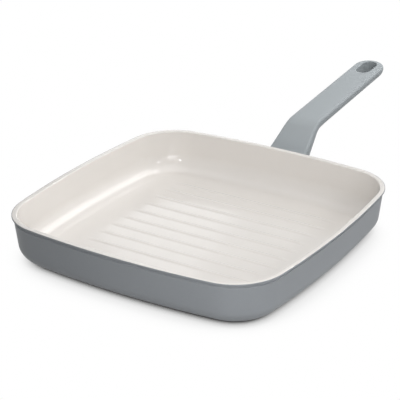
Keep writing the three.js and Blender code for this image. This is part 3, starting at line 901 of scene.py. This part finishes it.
def make_world():
    world = bpy.data.worlds.new("studio")
    world.use_nodes = True
    tree = world.node_tree
    background = tree.nodes["Background"]
    coordinates = tree.nodes.new("ShaderNodeTexCoord")
    glow = None
    for direction, strength in SKY_GLOWS:
        dot = tree.nodes.new("ShaderNodeVectorMath")
        dot.operation = "DOT_PRODUCT"
        dot.inputs[1].default_value = direction
        tree.links.new(coordinates.outputs["Generated"], dot.inputs[0])
        lobe = ranged(tree, dot.outputs["Value"], (0, 1), (0, strength))
        if glow is not None:
            total = tree.nodes.new("ShaderNodeMath")
            tree.links.new(glow, total.inputs[0])
            tree.links.new(lobe, total.inputs[1])
            lobe = total.outputs["Value"]
        glow = lobe
    shown = tree.nodes.new("ShaderNodeMix")
    tree.links.new(background_rays(tree), shown.inputs["Factor"])
    tree.links.new(glow, shown.inputs[VALUE_FIRST])
    shown.inputs[VALUE_SECOND].default_value = 1
    background.inputs["Color"].default_value = (1, 1, 1, 1)
    tree.links.new(shown.outputs[VALUE_RESULT], background.inputs["Strength"])
    scene.world = world


def make_floor():
    """A white floor whose glow, seen from the camera and in gloss, carries a painted shadow of the pan,
    darker where less of the sky reaches it.
    """
    half = FLOOR_HALF_WIDTH
    corners = [(-half, -half, 0), (half, -half, 0), (half, half, 0), (-half, half, 0)]
    floor = make_object("floor", make_mesh("floor", (corners, [(0, 1, 2, 3)])))
    tree, shader = new_material("floor_paper")
    SHADES["floor_paper"].cycles.emission_sampling = "NONE"
    shader.inputs["Base Color"].default_value = FLOOR_BOUNCE
    shader.inputs["Roughness"].default_value = 1
    shader.inputs["Specular IOR Level"].default_value = 0
    # Ambient occlusion paints the pan's shadow into the floor's glow
    reach = tree.nodes.new("ShaderNodeAmbientOcclusion")
    reach.inputs["Distance"].default_value = SHADOW_REACH * MM
    shade = tree.nodes.new("ShaderNodeValToRGB")
    stops = shade.color_ramp.elements
    stops[0].position = FLOOR_SHADE[0][0]
    stops[1].position = FLOOR_SHADE[-1][0]
    for share, _ in FLOOR_SHADE[1:-1]:
        stops.new(share)
    for stop, (_, value) in zip(stops, FLOOR_SHADE):
        stop.color = (value, value, value, 1)
    glow = tree.nodes.new("ShaderNodeEmission")
    choice = tree.nodes.new("ShaderNodeMixShader")
    tree.links.new(reach.outputs["AO"], shade.inputs["Fac"])
    tree.links.new(shade.outputs["Color"], glow.inputs["Color"])
    tree.links.new(background_rays(tree), choice.inputs[0])
    tree.links.new(shader.outputs["BSDF"], choice.inputs[1])
    tree.links.new(glow.outputs["Emission"], choice.inputs[2])
    tree.links.new(choice.outputs["Shader"], tree.nodes["Material Output"].inputs["Surface"])
    floor.data.materials.append(SHADES["floor_paper"])


# Softboxes: name, place, aim, width and height in metres, power in watts, turn about the aim in
# degrees, and the angle in degrees that a honeycomb narrows the beam to
SOFTBOXES = [
    ("overhead", (0.1, 0.2, 1.4), (0, 0, 0), 1.4, 1.4, 9),
    ("back", (0.15, 0.85, 0.72), (0, 0.1, 0), 0.28, 0.7, 0.5),
    ("back_right", (0.95, 1, 0.65), (0, 0, 0), 1.3, 0.9, 1.4),
    ("grip", (0.1, 0.5, 0.45), (0, 0.28, 0.06), 0.25, 0.4, 0.88),
    ("right", (1.08, -0.025, 0.73), (0, 0, 0), 0.15, 0.15, 1.45),
    ("right_low", (0.75, 0.45, 0.12), (0.14, -0.027, 0.02), 0.15, 0.2, 0.09, 0, 36),
    ("left", (-1.2, -0.1, 0.8), (0, 0, 0), 0.8, 0.8, 0.6),
    ("front", (0.205, -1.03, 0.75), (0, 0, 0), 0.15, 0.15, 2),
    ("front_near", (0.28, -0.38, 0.25), (0.08, -0.14, 0.02), 0.25, 0.25, 0.13, 0, 80),
    ("front_low", (0.38, -0.5, 0.13), (0.16, -0.12, 0.02), 0.4, 0.22, 0.25, 0, 80),
    ("window", (-0.66, 0.912, 0.426), (0, 0, 0), 0.3, 0.3, 0.26, 45),
]


def make_softbox(name, place, aim, width, height, watts, turn=0, beam=180):
    lamp = bpy.data.lights.new(name, "AREA")
    lamp.shape = "RECTANGLE"
    lamp.size = width
    lamp.size_y = height
    lamp.energy = watts
    lamp.spread = radians(beam)
    holder = bpy.data.objects.new(name, lamp)
    holder.location = place
    holder.rotation_mode = "QUATERNION"
    facing = (Vector(aim) - Vector(place)).to_track_quat("-Z", "Y")
    holder.rotation_quaternion = facing @ Quaternion((0, 0, 1), radians(turn))
    holder.visible_camera = False
    scene.collection.objects.link(holder)


# Camera, fitted to the photo's frame of 400 pixels a side

FRAME_PIXELS = 400
FOCAL_PIXELS = 1445.78
SENSOR_WIDTH = 36
VIEW_AZIMUTH = radians(32.4)
VIEW_ELEVATION = radians(24.318)
VIEW_ROLL = radians(-0.364)
VIEW_DISTANCE = 1.3006
VIEW_TARGET = Vector((0.831, -4.32, PAN_HEIGHT)) * MM


def make_camera():
    level = cos(VIEW_ELEVATION)
    back = Vector((sin(VIEW_AZIMUTH) * level, -cos(VIEW_AZIMUTH) * level, sin(VIEW_ELEVATION)))
    level_right = Vector((cos(VIEW_AZIMUTH), sin(VIEW_AZIMUTH), 0))
    level_up = back.cross(level_right)
    right = cos(VIEW_ROLL) * level_right + sin(VIEW_ROLL) * level_up
    up = cos(VIEW_ROLL) * level_up - sin(VIEW_ROLL) * level_right
    data = bpy.data.cameras.new("camera")
    data.sensor_width = SENSOR_WIDTH
    data.lens = FOCAL_PIXELS / FRAME_PIXELS * SENSOR_WIDTH
    camera = bpy.data.objects.new("camera", data)
    camera.matrix_world = Matrix((right, up, back)).transposed().to_4x4()
    camera.location = VIEW_TARGET + VIEW_DISTANCE * back
    scene.collection.objects.link(camera)
    scene.camera = camera


make_world()
make_floor()
make_camera()
for softbox in SOFTBOXES:
    make_softbox(*softbox)
